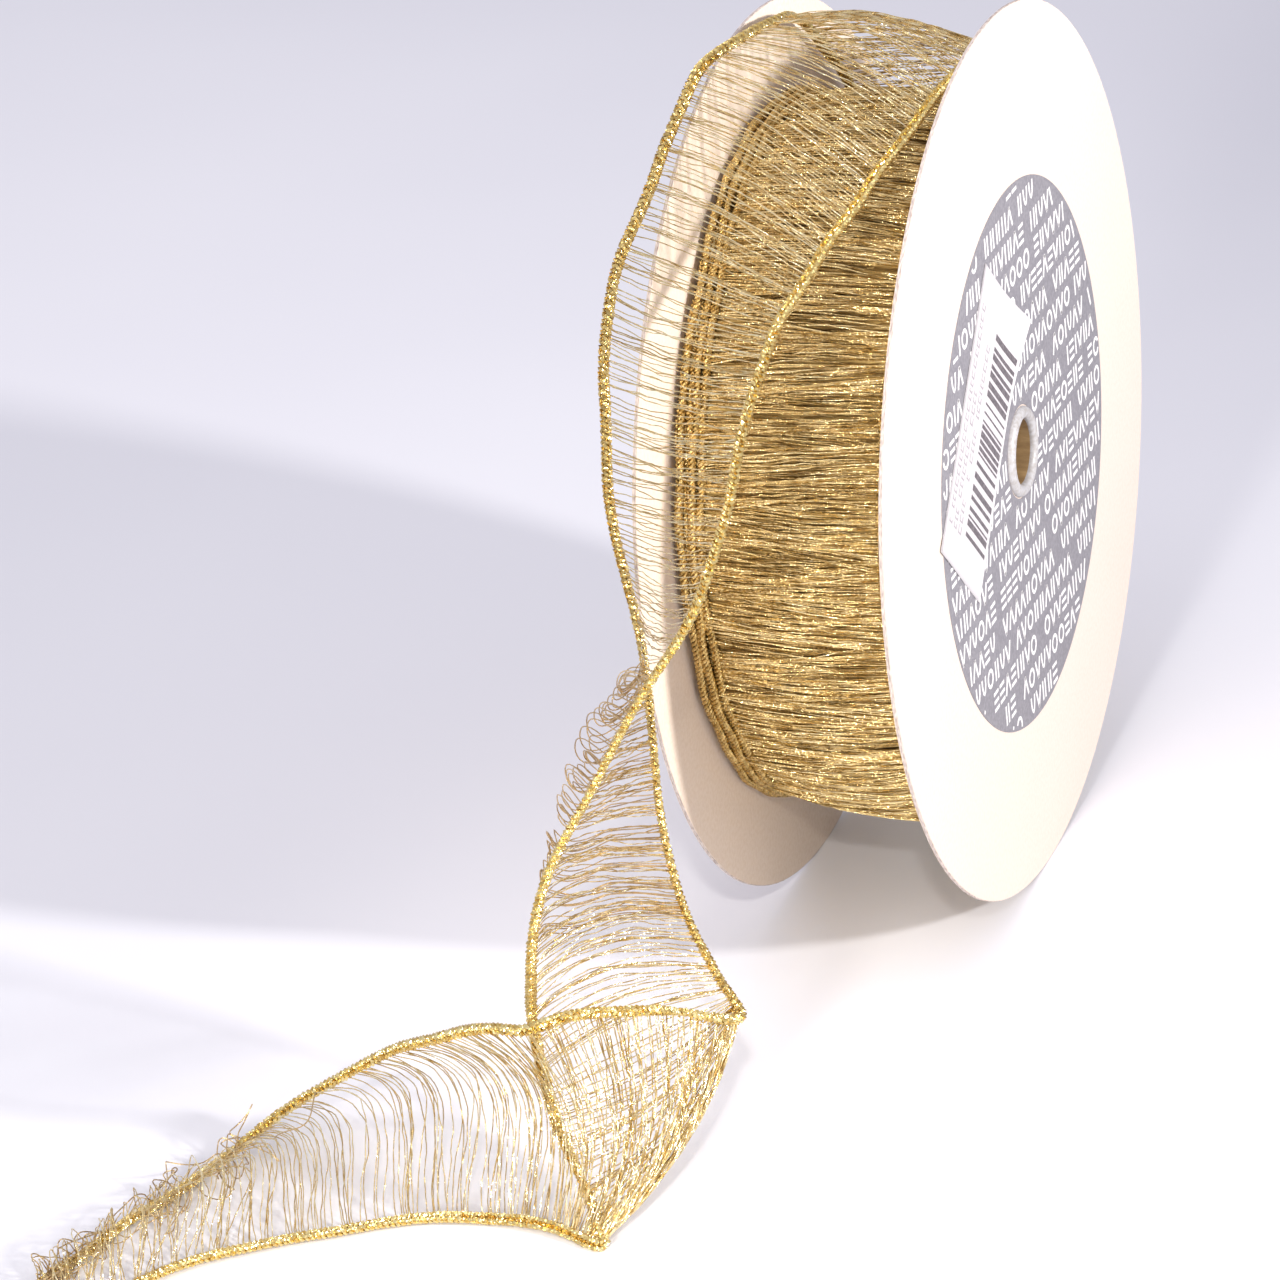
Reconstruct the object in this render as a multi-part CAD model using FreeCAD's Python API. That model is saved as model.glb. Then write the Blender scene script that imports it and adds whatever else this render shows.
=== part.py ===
"""Ribbon spool: two card flanges on a small paper tube, wound with sheer gold thread ribbon.

The spool stands on the rims of its flanges. Its axis lies along Y, +Z is up, and the
origin is the centre of the bore, half way between the flanges. The front flange, with
the round label, faces -Y. The loose end of the ribbon leaves the top of the winding,
hangs down on the -X side, folds over on the table and runs off towards -X and +Y.
Lengths are in millimetres.
"""
import FreeCAD, Part
import os
from FreeCAD import Vector

# ---- driving dimensions -------------------------------------------------------------
RIBBON_WIDTH = 38.0
FLANGE_RADIUS = 75.0
FLANGE_GAP = 40.0            # clear distance between the flanges' inner faces
BOARD_THICKNESS = 0.5        # greyboard core of one flange
FACING_THICKNESS = 0.1       # cream paper glued on each side of the board
FACING_MARGIN = 0.1          # board shows this far beyond its facings at the rim

BORE_RADIUS = 5.5
TUBE_RADIUS = 6.5
FLANGE_HOLE_RADIUS = 6.6
LIP_RADIUS = 7.65            # rolled end of the tube, clinched over the flange
LIP_HEIGHT = 1.1

HUB_RADIUS = 16.0            # card ring the ribbon is wound on
HUB_WALL = 2.0
TAPE_THICKNESS = 0.15
TAPE_WIDTH = 20.0
TAPE_ANGLE = 70.0

PACK_RADIUS = 60.0
WEFT_PACK_RADIUS = 59.6
PACK_BORE_RADIUS = 16.2
SELVEDGE_WIDTH = 1.8
SELVEDGE_CLEARANCE = 0.1

LABEL_RADIUS = 46.5
LABEL_HOLE_RADIUS = 7.9
LABEL_THICKNESS = 0.12
LABEL_CENTRE = (1.8, -1.2)   # the label is stuck on slightly off centre (x, z)
STICKER_LENGTH = 50.0
STICKER_WIDTH = 24.0
STICKER_THICKNESS = 0.1
STICKER_CENTRE = (-20.3, 11.7)
STICKER_ANGLE = 46.0         # long side, from +X towards +Z

WEFT_THICKNESS = 0.5
CORD_RADIUS = 0.65           # a selvedge of the loose ribbon
SPAN_STEPS = 3               # points per span between two stations

INNER_FACE = FLANGE_GAP / 2
FLANGE_THICKNESS = BOARD_THICKNESS + 2 * FACING_THICKNESS
OUTER_FACE = INNER_FACE + FLANGE_THICKNESS

# ---- the loose ribbon, as pairs of stations on its rear and front selvedges ------------
# From the winding, over the top and down to where the rear selvedge turns back.
DROP_REAR = [
    (58, 18, 22), (48, 18, 41), (33, 18, 57), (15, 17, 70), (-2, 16, 75), (-26, 20, 75),
    (-46, 22, 64), (-62, 25, 50), (-72, 24, 34), (-78, 22, 18), (-82, 18, 2),
    (-86, 16, -12), (-91, 14, -26), (-96, 10, -38), (-103, 3, -46), (-112, -4, -49),
]
DROP_FRONT = [
    (55, -18, 29), (42, -18, 47), (24, -18, 61), (5, -18, 69), (-15, -18, 70), (-39, -12, 62),
    (-61, -9, 56), (-79, -7, 50), (-92, -6, 40), (-101, -5, 29), (-109, -1, 17),
    (-116, 6, 6), (-122, 13, -7), (-126, 20, -20), (-126, 24, -35), (-121, 27, -46),
]
# The fold: its crease falls from the rear selvedge's turn to the front selvedge's turn.
CREASE = [(-117, -3, -54), (-123, -1, -59), (-129, 2, -65), (-135, 6, -70)]
FOLD_FRONT = [(-125, 25, -52), (-129, 22, -58), (-133, 18, -64), (-138, 13, -71)]
FOLD_REAR = [(-117, 4, -46), (-120, 12, -45), (-123, 20, -45), (-126, 26, -46)]
FOLD_STEP = (-1.6, -0.6, 1.4)  # the returning layer lies this far in front of the other
# From the fold along the table to the free end.
RUN_REAR = [
    (-125, 32, -47), (-121, 41, -51), (-117, 51, -56), (-115, 60, -61), (-116, 68, -66),
    (-120, 75, -70), (-128, 80, -73), (-137, 84, -73.9), (-147, 88, -73.9),
    (-158, 91, -73.9), (-169, 94, -73.9),
]
RUN_FRONT = [
    (-142, 11, -73.9), (-139, 19, -73.9), (-137, 28, -73.9), (-138, 38, -73.9), (-141, 47, -73.9),
    (-146, 55, -73.9), (-151, 64, -73.9), (-157, 72, -73.9), (-164, 78, -73.9),
    (-173, 83, -73.9), (-182, 86, -73.9),
]


def disc(radius, hole_radius, y_start, thickness, centre=(0.0, 0.0)):
    """Flat ring across the spool axis, its hole always on the axis."""
    outer = Part.makeCylinder(radius, thickness, Vector(centre[0], y_start, centre[1]), Vector(0, 1, 0))
    hole = Part.makeCylinder(hole_radius, 3 * thickness, Vector(0, y_start - thickness, 0), Vector(0, 1, 0))
    return outer.cut(hole)


def tube(outer_radius, inner_radius, half_length):
    return disc(outer_radius, inner_radius, -half_length, 2 * half_length)


def lip(side):
    """Rolled tube end: a half-round bead standing on one flange's outer face."""
    face = side * OUTER_FACE
    top = side * (OUTER_FACE + LIP_HEIGHT)
    inner = Vector(BORE_RADIUS, face, 0)
    crown = Vector((BORE_RADIUS + LIP_RADIUS) / 2, top, 0)
    outer = Vector(LIP_RADIUS, face, 0)
    bead = Part.Wire([Part.Arc(inner, crown, outer).toShape(), Part.makeLine(outer, inner)])
    return Part.Face(bead).revolve(Vector(0, 0, 0), Vector(0, 1, 0), 360)


def flange(side):
    """Greyboard and its two paper facings, as (board, inner facing, outer facing)."""
    starts = [
        INNER_FACE,
        INNER_FACE + FACING_THICKNESS,
        INNER_FACE + FACING_THICKNESS + BOARD_THICKNESS,
    ]
    depths = [FACING_THICKNESS, BOARD_THICKNESS, FACING_THICKNESS]
    radii = [FLANGE_RADIUS - FACING_MARGIN, FLANGE_RADIUS, FLANGE_RADIUS - FACING_MARGIN]
    layers = []
    for start, depth, radius in zip(starts, depths, radii):
        y_start = start if side > 0 else -start - depth
        layers.append(disc(radius, FLANGE_HOLE_RADIUS, y_start, depth))
    inner_facing, board, outer_facing = layers
    return board, inner_facing, outer_facing


def sticker():
    """Oblong label stuck across the round one, drawn flat and then turned to its angle."""
    face = -OUTER_FACE - LABEL_THICKNESS
    shape = Part.makeBox(STICKER_LENGTH, STICKER_THICKNESS, STICKER_WIDTH)
    shape.translate(Vector(-STICKER_LENGTH / 2, face - STICKER_THICKNESS, -STICKER_WIDTH / 2))
    shape.rotate(Vector(0, 0, 0), Vector(0, 1, 0), -STICKER_ANGLE)
    shape.translate(Vector(STICKER_CENTRE[0], 0, STICKER_CENTRE[1]))
    return shape


def core_tape():
    """Strip of tape holding the ribbon's inner end on the hub."""
    sector = Part.makeCylinder(
        HUB_RADIUS + TAPE_THICKNESS, TAPE_WIDTH, Vector(0, -TAPE_WIDTH / 2, 0), Vector(0, 1, 0), TAPE_ANGLE)
    core = Part.makeCylinder(HUB_RADIUS, 3 * TAPE_WIDTH, Vector(0, -1.5 * TAPE_WIDTH, 0), Vector(0, 1, 0))
    return sector.cut(core)


def shifted(points, step=(0, 0, 0)):
    return [Vector(*point) + Vector(*step) for point in points]


def eased(stations):
    """Stations with SPAN_STEPS points per span, on a curve that passes through each station."""
    last = len(stations) - 1
    points = []
    for i in range(last):
        start, end = stations[i], stations[i + 1]
        leave = (end - stations[max(i - 1, 0)]) * 0.5
        arrive = (stations[min(i + 2, last)] - start) * 0.5
        for step in range(SPAN_STEPS):
            t = step / SPAN_STEPS
            points.append(
                start * (2 * t**3 - 3 * t**2 + 1) + leave * (t**3 - 2 * t**2 + t)
                + end * (3 * t**2 - 2 * t**3) + arrive * (t**3 - t**2))
    return points + [stations[-1]]


def ribbon_strip(rear, front):
    """Ribbon lofted through its cross-section: a thin web of threads between two thick selvedges."""
    rear = eased(rear)
    front = eased(front)
    middles = [(a + b) * 0.5 for a, b in zip(rear, front)]
    last = len(middles) - 1
    sections = []
    for i, (a, b) in enumerate(zip(rear, front)):
        across = Vector(b - a)
        width = across.Length
        across.normalize()
        along = middles[min(i + 1, last)] - middles[max(i - 1, 0)]
        normal = across.cross(along)
        normal.normalize()
        edge = min(CORD_RADIUS, width / 4)
        web = min(2 * CORD_RADIUS, width / 3)
        profile = [
            (-edge, CORD_RADIUS), (edge, CORD_RADIUS), (web, WEFT_THICKNESS / 2),
            (width - web, WEFT_THICKNESS / 2), (width - edge, CORD_RADIUS), (width + edge, CORD_RADIUS),
        ]
        upper = [a + across * u + normal * v for u, v in profile]
        lower = [a + across * u - normal * v for u, v in reversed(profile)]
        sections.append(Part.makePolygon(upper + lower + [upper[0]]))
    return Part.makeLoft(sections, True, True)


def loose_ribbon():
    """The loose end, before and after the fold. The way down ends, and the run starts, at the crease."""
    drop = ribbon_strip(shifted(DROP_REAR + CREASE), shifted(DROP_FRONT + FOLD_FRONT))
    near_crease = shifted(CREASE, FOLD_STEP)
    run = ribbon_strip(shifted(FOLD_REAR + RUN_REAR), near_crease + shifted(RUN_FRONT))
    return {"tail_drop": drop, "tail_run": run}


parts = {}
for name, side in (("front", -1), ("rear", 1)):
    board, inner_facing, outer_facing = flange(side)
    parts[name + "_board"] = board
    parts[name + "_inner_facing"] = inner_facing
    parts[name + "_outer_facing"] = outer_facing
    parts[name + "_lip"] = lip(side)

parts["core_tube"] = tube(TUBE_RADIUS, BORE_RADIUS, OUTER_FACE)
parts["winding_hub"] = tube(HUB_RADIUS, HUB_RADIUS - HUB_WALL, INNER_FACE)
parts["core_tape"] = core_tape()
parts["round_label"] = disc(
    LABEL_RADIUS, LABEL_HOLE_RADIUS, -OUTER_FACE - LABEL_THICKNESS, LABEL_THICKNESS, LABEL_CENTRE)
parts["barcode_sticker"] = sticker()

coil_outer = RIBBON_WIDTH / 2
coil_inner = coil_outer - SELVEDGE_WIDTH
parts["wound_threads"] = tube(WEFT_PACK_RADIUS, PACK_BORE_RADIUS, coil_inner - SELVEDGE_CLEARANCE)
parts["wound_front_selvedge"] = disc(PACK_RADIUS, PACK_BORE_RADIUS, -coil_outer, SELVEDGE_WIDTH)
parts["wound_rear_selvedge"] = disc(PACK_RADIUS, PACK_BORE_RADIUS, coil_inner, SELVEDGE_WIDTH)
parts.update(loose_ribbon())

os.makedirs("parts", exist_ok=True)
for name, shape in parts.items():
    shape.exportStep("parts/" + name + ".step")
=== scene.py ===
"""Gold thread ribbon on a card spool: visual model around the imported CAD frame, in metres."""
import math
import bpy
import numpy as np
from mathutils import Matrix, Vector


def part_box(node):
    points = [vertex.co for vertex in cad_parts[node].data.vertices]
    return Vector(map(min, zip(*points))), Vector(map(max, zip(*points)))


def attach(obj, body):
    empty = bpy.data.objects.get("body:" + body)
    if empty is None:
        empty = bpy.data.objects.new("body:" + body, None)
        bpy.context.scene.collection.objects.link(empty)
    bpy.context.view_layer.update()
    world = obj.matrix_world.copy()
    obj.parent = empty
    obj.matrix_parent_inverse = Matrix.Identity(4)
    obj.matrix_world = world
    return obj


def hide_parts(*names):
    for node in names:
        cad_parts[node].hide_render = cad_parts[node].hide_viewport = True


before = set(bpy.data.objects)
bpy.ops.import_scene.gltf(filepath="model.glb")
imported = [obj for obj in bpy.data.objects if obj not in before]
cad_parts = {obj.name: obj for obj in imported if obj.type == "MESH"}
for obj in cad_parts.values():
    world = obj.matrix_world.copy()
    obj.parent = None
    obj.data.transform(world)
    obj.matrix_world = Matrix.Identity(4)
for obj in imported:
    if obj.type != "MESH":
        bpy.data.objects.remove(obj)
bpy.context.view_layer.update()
rng = np.random.default_rng(7)
MM = 0.001

# ---- sizes from the CAD frame, in metres ------------------------------------------------
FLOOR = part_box("front_board")[0][2]
LABEL_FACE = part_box("round_label")[0][1]
PACK_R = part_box("wound_rear_selvedge")[1][2]
COIL_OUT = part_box("wound_rear_selvedge")[1][1]
COIL_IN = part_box("wound_rear_selvedge")[0][1]
WEB_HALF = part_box("wound_threads")[1][1]
WINDING_BORE = 0.0163   # just clear of the tape on the hub

# ---- the loose ribbon's route, repeated from the CAD, in millimetres -------------------
DROP_REAR = [
    (58, 18, 22), (48, 18, 41), (33, 18, 57), (15, 17, 70), (-2, 16, 75), (-26, 20, 75),
    (-46, 22, 64), (-62, 25, 50), (-72, 24, 34), (-78, 22, 18), (-82, 18, 2),
    (-86, 16, -12), (-91, 14, -26), (-96, 10, -38), (-103, 3, -46), (-112, -4, -49),
]
DROP_FRONT = [
    (55, -18, 29), (42, -18, 47), (24, -18, 61), (5, -18, 69), (-15, -18, 70), (-39, -12, 62),
    (-61, -9, 56), (-79, -7, 50), (-92, -6, 40), (-101, -5, 29), (-109, -1, 17),
    (-116, 6, 6), (-122, 13, -7), (-126, 20, -20), (-126, 24, -35), (-121, 27, -46),
]
FOLD_FRONT = [(-125, 25, -52), (-129, 22, -58), (-133, 18, -64), (-138, 13, -71)]
FOLD_REAR = [(-117, 4, -46), (-120, 12, -45), (-123, 20, -45), (-126, 26, -46)]
RUN_REAR = [
    (-125, 32, -47), (-121, 41, -51), (-117, 51, -56), (-115, 60, -61), (-116, 68, -66),
    (-120, 75, -70), (-128, 80, -73), (-137, 84, -73.9), (-147, 88, -73.9),
    (-158, 91, -73.9), (-169, 94, -73.9),
]
RUN_FRONT = [
    (-142, 11, -73.9), (-139, 19, -73.9), (-137, 28, -73.9), (-138, 38, -73.9), (-141, 47, -73.9),
    (-146, 55, -73.9), (-151, 64, -73.9), (-157, 72, -73.9), (-164, 78, -73.9),
    (-173, 83, -73.9), (-182, 86, -73.9),
]


# ---- curves and tubes ------------------------------------------------------------------
def catmull(stations, count):
    """Points at `count` even station steps on a smooth curve through the stations."""
    p = np.asarray(stations, float)
    u = np.linspace(0, len(p) - 1, count)
    i = np.minimum(u.astype(int), len(p) - 2)
    t = (u - i)[:, None]
    before = p[np.maximum(i - 1, 0)]
    after = p[np.minimum(i + 2, len(p) - 1)]
    a, b = p[i], p[i + 1]
    m0, m1 = (b - before) / 2, (after - a) / 2
    return (
        a * (2 * t**3 - 3 * t**2 + 1) + m0 * (t**3 - 2 * t**2 + t)
        + b * (3 * t**2 - 2 * t**3) + m1 * (t**3 - t**2))


def even(points, count):
    """The same line with its points evenly spaced."""
    steps = np.linalg.norm(np.diff(points, axis=0), axis=1)
    s = np.concatenate([[0], np.cumsum(steps)])
    at = np.linspace(0, s[-1], count)
    return np.stack([np.interp(at, s, points[:, k]) for k in range(3)], 1)


def unit(v):
    """Vectors scaled to length one."""
    return v / np.maximum(np.linalg.norm(v, axis=-1, keepdims=True), 1e-12)


def new_mesh(name, verts, faces, material, smooth=False):
    """Object from vertices and faces; faces is a list of equal-width index arrays."""
    mesh = bpy.data.meshes.new(name)
    loops = np.concatenate([f.ravel() for f in faces]).astype(np.int32)
    sizes = np.concatenate([np.full(len(f), f.shape[1]) for f in faces]).astype(np.int32)
    starts = np.concatenate([[0], np.cumsum(sizes)[:-1]]).astype(np.int32)
    mesh.vertices.add(len(verts))
    mesh.vertices.foreach_set("co", np.asarray(verts, np.float32).ravel())
    mesh.loops.add(len(loops))
    mesh.loops.foreach_set("vertex_index", loops)
    mesh.polygons.add(len(sizes))
    mesh.polygons.foreach_set("loop_start", starts)
    mesh.polygons.foreach_set("loop_total", sizes)
    mesh.polygons.foreach_set("use_smooth", np.full(len(sizes), smooth))
    mesh.update(calc_edges=True)
    mesh.validate()
    mesh.materials.append(material)
    obj = bpy.data.objects.new(name, mesh)
    bpy.context.scene.collection.objects.link(obj)
    return obj


def tubes(name, paths, radius, sides, material, twist=None, smooth=False, flat=1.0):
    """Capped tubes along many paths of equal length: paths is (tubes, points, 3), in metres."""
    n, k, _ = paths.shape
    radius = np.broadcast_to(np.asarray(radius, float), (n, k))
    twist = np.zeros((n, k)) if twist is None else twist
    along = unit(np.gradient(paths, axis=1))
    guide = np.where(np.abs(along[..., 2:3]) > 0.8, np.array([1.0, 0, 0]), np.array([0, 0, 1.0]))
    across = unit(np.cross(along, guide))
    other = np.cross(across, along)
    angle = twist[..., None] + np.arange(sides) * 2 * np.pi / sides
    ring = (
        across[:, :, None, :] * np.cos(angle)[..., None]
        + other[:, :, None, :] * (flat * np.sin(angle))[..., None])
    verts = (paths[:, :, None, :] + ring * radius[:, :, None, None]).reshape(-1, 3)
    t, p, s = np.meshgrid(np.arange(n), np.arange(k - 1), np.arange(sides), indexing="ij")
    base = (t * k + p) * sides
    nxt = (s + 1) % sides
    walls = np.stack([base + s, base + sides + s, base + sides + nxt, base + nxt], -1).reshape(-1, 4)
    first = (np.arange(n) * k * sides)[:, None] + np.arange(sides)[None, :]
    last = first + (k - 1) * sides
    return new_mesh(name, verts, [walls, first, last[:, ::-1]], material, smooth)


# ---- materials --------------------------------------------------------------------------
class Nodes:
    """Short way to write a node material."""

    def __init__(self, name, rough=0.5, metal=0.0):
        self.m = bpy.data.materials.new(name)
        self.m.use_nodes = True
        self.t = self.m.node_tree
        self.s = self.t.nodes["Principled BSDF"]
        self.s.inputs["Roughness"].default_value = rough
        self.s.inputs["Metallic"].default_value = metal

    def where(self, stretch=(1, 1, 1)):
        """Position in the object's own axes, stretched."""
        spot = self.t.nodes.new("ShaderNodeTexCoord")
        move = self.t.nodes.new("ShaderNodeMapping")
        move.inputs["Scale"].default_value = stretch
        self.t.links.new(spot.outputs["Object"], move.inputs["Vector"])
        return move.outputs[0]

    def noise(self, scale, detail=3.0, at=None):
        node = self.t.nodes.new("ShaderNodeTexNoise")
        node.inputs["Scale"].default_value = scale
        node.inputs["Detail"].default_value = detail
        self.t.links.new(at or self.where(), node.inputs["Vector"])
        return node.outputs[0]

    def ramp(self, source, *stops):
        """Colour ramp over a source, from (position, colour) stops."""
        node = self.t.nodes.new("ShaderNodeValToRGB")
        ramp = node.color_ramp
        while len(ramp.elements) < len(stops):
            ramp.elements.new(0.5)
        for element, (at, colour) in zip(ramp.elements, stops):
            element.position = at
            element.color = (*colour, 1)
        self.t.links.new(source, node.inputs[0])
        return node.outputs[0]

    def mix(self, factor, a, b):
        """Colour between a and b; each argument is a value, a colour or a socket."""
        node = self.t.nodes.new("ShaderNodeMix")
        node.data_type = "RGBA"
        for socket, value in ((node.inputs[0], factor), (node.inputs[6], a), (node.inputs[7], b)):
            if isinstance(value, (int, float)):
                socket.default_value = value
            elif isinstance(value, tuple):
                socket.default_value = (*value, 1)
            else:
                self.t.links.new(value, socket)
        return node.outputs[2]

    def colour(self, source):
        self.t.links.new(source, self.s.inputs["Base Color"])

    def roughness(self, source, low, high):
        node = self.t.nodes.new("ShaderNodeMapRange")
        node.inputs["To Min"].default_value = low
        node.inputs["To Max"].default_value = high
        self.t.links.new(source, node.inputs["Value"])
        self.t.links.new(node.outputs[0], self.s.inputs["Roughness"])

    def bump(self, source, strength, distance):
        node = self.t.nodes.new("ShaderNodeBump")
        node.inputs["Strength"].default_value = strength
        node.inputs["Distance"].default_value = distance
        self.t.links.new(source, node.inputs["Height"])
        self.t.links.new(node.outputs[0], self.s.inputs["Normal"])

    def island(self):
        """Random number of its own for each separate strand."""
        return self.t.nodes.new("ShaderNodeNewGeometry").outputs["Random Per Island"]


def gold(name, dark, mid, bright, rough=(0.22, 0.42), metal=0.9, glitter=0.9, scale=420):
    """Metallised thread: each strand has its own tone, with finer changes along it."""
    n = Nodes(name, metal=metal)
    base = n.ramp(n.island(), (0.0, dark), (0.45, mid), (1.0, bright))
    fine = n.noise(scale, 2.0)
    n.colour(n.mix(0.35, base, n.ramp(fine, (0.3, dark), (0.62, bright))))
    n.roughness(n.noise(900, 1.0), *rough)
    n.bump(n.noise(2200, 1.0), glitter, 0.0004)
    return n.m


thread_gold = gold(
    "loose_thread_gold", (0.50, 0.345, 0.12), (0.80, 0.60, 0.26), (1.0, 0.90, 0.60), (0.10, 0.28), 0.9, 0.4)
braid_gold = gold(
    "braid_gold", (0.40, 0.25, 0.055), (0.84, 0.60, 0.19), (1.0, 0.86, 0.44), (0.10, 0.28), 0.95, 0.35, 1500)
pack_gold = gold(
    "wound_thread_gold", (0.46, 0.30, 0.09), (0.84, 0.61, 0.24), (1.0, 0.84, 0.46), (0.10, 0.30), 0.8, 0.9)
# Darker copy of the wound gold for the deepest layer of threads: painted shade of the gaps between the
# threads above it.
shaded_deep_gold = gold(
    "deep_thread_gold_painted_shade", (0.22, 0.13, 0.035), (0.48, 0.31, 0.10), (0.80, 0.58, 0.24), (0.2, 0.4), 0.7)
# Darker copy of the braid gold for the selvedge turns and braids on the winding's sides: painted shade of
# those sides.
shaded_coil_gold = gold(
    "shaded_coil_gold", (0.38, 0.23, 0.05), (0.66, 0.44, 0.13), (0.98, 0.76, 0.36), (0.16, 0.36), 0.85, 0.8)
tangle_gold = gold(
    "frayed_thread_brown", (0.34, 0.22, 0.10), (0.54, 0.38, 0.19), (0.76, 0.58, 0.33), (0.25, 0.45), 0.7)


def shaded_under_winding():
    """Dark gold for the turns seen between the drawn threads: painted shade of the gaps, over faint lines of
    the turns.
    """
    n = Nodes("inner_winding_painted_shade", rough=0.45, metal=0.7)
    lines = n.noise(260, 4.0, n.where((7, 0.35, 7)))
    # Mostly dark ramp: painted shade between the threads, with lighter lines for the turns.
    n.colour(n.ramp(
        lines, (0.3, (0.13, 0.07, 0.018)), (0.5, (0.38, 0.245, 0.075)), (0.68, (0.70, 0.50, 0.18))))
    n.bump(lines, 0.8, 0.0004)
    return n.m


def card(name, tone, speck, fibre=0.06, rough=0.75):
    """Paper or card: slow cloud between two tones, with fine fibres."""
    n = Nodes(name, rough=rough)
    cloud = n.noise(35, 3.0)
    fine = n.noise(1400, 3.0)
    body = n.mix(n.ramp(cloud, (0.35, (0, 0, 0)), (0.7, (0.5, 0.5, 0.5))), tone, speck)
    n.colour(n.mix(fibre, body, n.ramp(fine, (0.35, (0.5, 0.42, 0.3)), (0.6, (1, 1, 1)))))
    n.bump(fine, 0.12, 0.00008)
    return n.m


cream = card("cream_facing_paper", (0.74, 0.615, 0.53), (0.76, 0.635, 0.55))
inner_cream = card("inner_facing_paper", (0.79, 0.67, 0.56), (0.74, 0.625, 0.52), 0.10, 0.8)
lip_paper = card("rolled_lip_paper", (0.36, 0.35, 0.36), (0.27, 0.26, 0.265), 0.2, 0.4)
sticker_paper = card("sticker_white_paper", (0.62, 0.59, 0.60), (0.64, 0.61, 0.62), 0.03, 0.5)
tape_paper = card("tape_paper", (0.78, 0.7, 0.52), (0.7, 0.6, 0.42), 0.15)


def greyboard():
    """Cut edge of layered greyboard."""
    n = Nodes("greyboard_edge", rough=0.9)
    layers = n.noise(900, 3.0, n.where((1, 6, 1)))
    n.colour(n.ramp(
        layers, (0.3, (0.34, 0.27, 0.24)), (0.5, (0.55, 0.47, 0.43)), (0.7, (0.74, 0.66, 0.61))))
    n.bump(layers, 0.4, 0.0001)
    return n.m


def kraft():
    """Brown spiral-wound tube paper."""
    n = Nodes("kraft_tube_paper", rough=0.7)
    fibre = n.noise(500, 4.0, n.where((1, 0.25, 1)))
    n.colour(n.ramp(
        fibre, (0.3, (0.20, 0.12, 0.05)), (0.5, (0.36, 0.23, 0.10)), (0.72, (0.52, 0.36, 0.17))))
    n.bump(fibre, 0.4, 0.0002)
    return n.m


def printed(name, tone, speck):
    """Ink or printed paper with a fine grain."""
    n = Nodes(name, rough=0.55)
    fine = n.noise(1600, 2.0)
    n.colour(n.mix(n.ramp(fine, (0.4, (0, 0, 0)), (0.62, (1, 1, 1))), tone, speck))
    n.bump(fine, 0.08, 0.00004)
    return n.m


label_grey = printed("label_grey_print", (0.205, 0.195, 0.215), (0.25, 0.24, 0.26))
label_white = printed("label_pale_print", (0.80, 0.78, 0.77), (0.88, 0.86, 0.85))
ink = printed("sticker_black_ink", (0.10, 0.085, 0.095), (0.16, 0.14, 0.15))
faint_ink = printed("sticker_faint_ink", (0.36, 0.32, 0.345), (0.42, 0.38, 0.40))

grey_edge = greyboard()
kraft_paper = kraft()
for names, material in (
    (("front_board", "rear_board"), grey_edge),
    (("front_outer_facing", "rear_outer_facing"), cream),
    (("front_inner_facing", "rear_inner_facing"), inner_cream),
    (("front_lip", "rear_lip"), lip_paper),
    (("core_tube", "winding_hub"), kraft_paper),
    (("core_tape",), tape_paper),
    (("round_label",), label_grey),
):
    for node in names:
        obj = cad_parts[node]
        obj.data.materials.clear()
        obj.data.materials.append(material)


# ---- wound ribbon -----------------------------------------------------------------------
WOUND_POINTS = 20
SIDE_SINK = 1.7 * MM         # threads lie this much lower at the selvedges than at mid width
BELLY = 2.6 * MM             # how far the winding sags outwards, low on its -X side
BELLY_FROM = 3.0             # radians round the winding, and the sag's crest and spread from there
BELLY_CREST = 1.36
BELLY_SPREAD = 0.5


def ripple(angle, y, seed):
    """Smooth wander, in radians round the pack, that gathers threads into clumps."""
    r = np.random.default_rng(seed)
    total = np.zeros(np.broadcast(angle, y).shape)
    for waves, size in ((11, 0.013), (23, 0.012), (47, 0.0100), (89, 0.0060), (150, 0.0034)):
        for _ in range(2):
            k = waves + r.integers(-3, 4)
            total = total + size * np.sin(k * angle + r.uniform(-90, 90) * y + r.uniform(0, 6.3))
    return total


def wound_layer(name, count, r0, spread, seed, thick, material):
    """Crosswise threads round the winding, wandering, clumping and sinking towards the selvedges."""
    r = np.random.default_rng(seed)
    points = WOUND_POINTS
    y = np.linspace(-WEB_HALF, WEB_HALF, points)[None, :] * np.ones((count, 1))
    start = (np.arange(count) + r.uniform(-1.2, 1.2, count)) * 2 * np.pi / count
    slant = r.normal(0, 0.010, count)[:, None] + 0.012 * np.sin(5 * start + 1.0)[:, None]
    angle = start[:, None] + slant * y / WEB_HALF
    angle = angle + ripple(start[:, None], y, seed + 1)
    wob = r.normal(0, 0.0024, (count, points))
    wob = (wob + np.roll(wob, 1, 1) + np.roll(wob, -1, 1)) / 2
    angle = angle + wob * np.sin(np.linspace(0, np.pi, points))
    lift = r.uniform(0, 1, count)[:, None] * spread
    lift = lift + 0.35 * MM * np.sin(23 * start[:, None] + 120 * y + seed)
    lift = lift + r.normal(0, 0.05 * MM, (count, points))
    radius = r0 + lift - SIDE_SINK * (1 - np.sin(np.linspace(0.2, np.pi - 0.2, points)))
    radius = np.minimum(radius, PACK_R - 0.1 * MM)
    across = np.linspace(0, 1, points)
    away = np.mod(start - BELLY_FROM, 2 * np.pi) - BELLY_CREST
    belly = np.sin(np.pi * across**0.62) * np.exp(-(away / BELLY_SPREAD) ** 2)[:, None]
    radius = radius + BELLY * belly
    path = np.stack([radius * np.cos(angle), y, radius * np.sin(angle)], -1)
    twist = r.uniform(0, 6.3, (count, 1)) + np.cumsum(r.uniform(0.0, 0.5, (count, points)), 1)
    return tubes(name, path, thick, 3, material, twist)


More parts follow.
